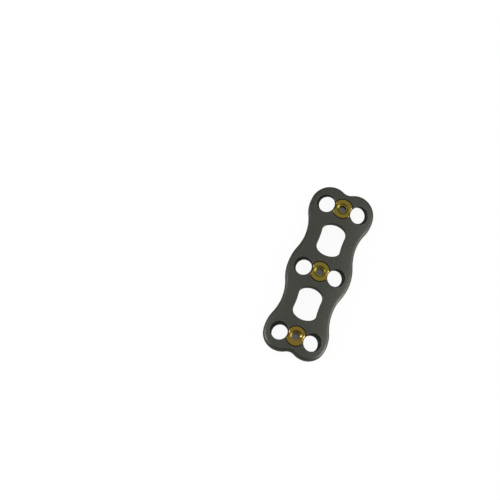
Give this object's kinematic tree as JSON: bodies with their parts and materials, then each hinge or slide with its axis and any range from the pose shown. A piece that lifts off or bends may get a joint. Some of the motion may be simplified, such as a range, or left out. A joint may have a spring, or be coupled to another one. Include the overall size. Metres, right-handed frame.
{
  "type": "orthopedic bone plate",
  "caption": "Doubly curved titanium bone plate for the front of the neck, with leaning screw holes, graft windows and round gold locks that turn over the screw heads.",
  "frame": {"origin": "middle of the base of the bounding box: the plate stands, as on a table, on the under edges of its four end lobes", "axes": "+X across the plate to its right, +Y along the plate towards its upper row of holes, +Z away from the bone, out of the top face"},
  "size_m": [0.018, 0.0482, 0.0052],
  "materials": {
    "titanium": "satin",
    "gold_titanium": "satin"
  },
  "bodies": {
    "plate": {"plate": "titanium"},
    "upper_lock": {"upper_lock": "gold_titanium"},
    "middle_lock": {"middle_lock": "gold_titanium"},
    "lower_lock": {"lower_lock": "gold_titanium"}
  },
  "joints": [
    {"name": "upper_lock_turn", "type": "hinge", "parent": "plate", "child": "upper_lock", "pos_m": [0, 0.0189, 0.00431], "axis": [0, 0.0945, 0.9955], "range_deg": [-90, 0]},
    {"name": "middle_lock_turn", "type": "hinge", "parent": "plate", "child": "middle_lock", "pos_m": [0, 0, 0.0052], "axis": [0, 0, 1], "range_deg": [-90, 0]},
    {"name": "lower_lock_turn", "type": "hinge", "parent": "plate", "child": "lower_lock", "pos_m": [0, -0.0189, 0.00431], "axis": [0, -0.0945, 0.9955], "range_deg": [-90, 0]}
  ]
}
